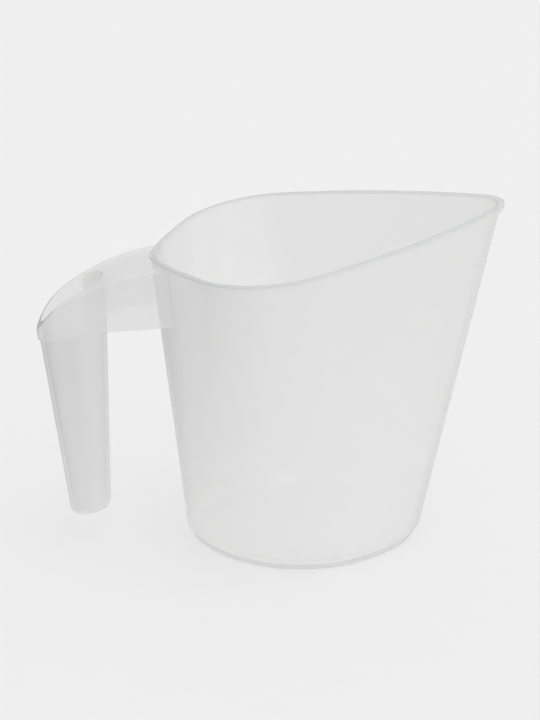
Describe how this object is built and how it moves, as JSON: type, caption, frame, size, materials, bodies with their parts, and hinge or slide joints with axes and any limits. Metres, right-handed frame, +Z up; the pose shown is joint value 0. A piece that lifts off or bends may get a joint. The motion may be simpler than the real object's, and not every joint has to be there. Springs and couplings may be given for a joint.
{
  "type": "pouring jug",
  "caption": "Thin-walled clear pouring jug with a teardrop mouth, sloping lipped rim and an arm that carries a hollow tapered grip.",
  "frame": {"origin": "on the surface the jug stands on, under the middle of its whole length and width", "axes": "+Z up, +X towards the spout and -X towards the handle, +Y across the jug"},
  "size_m": [0.2076, 0.1256, 0.1559],
  "materials": {
    "clear_polypropylene": "natural translucent polypropylene, injection moulded, semi-gloss"
  },
  "bodies": {
    "root": {"jug_body": "clear_polypropylene", "handle_arm": "clear_polypropylene", "grip_tube": "clear_polypropylene"}
  },
  "joints": []
}
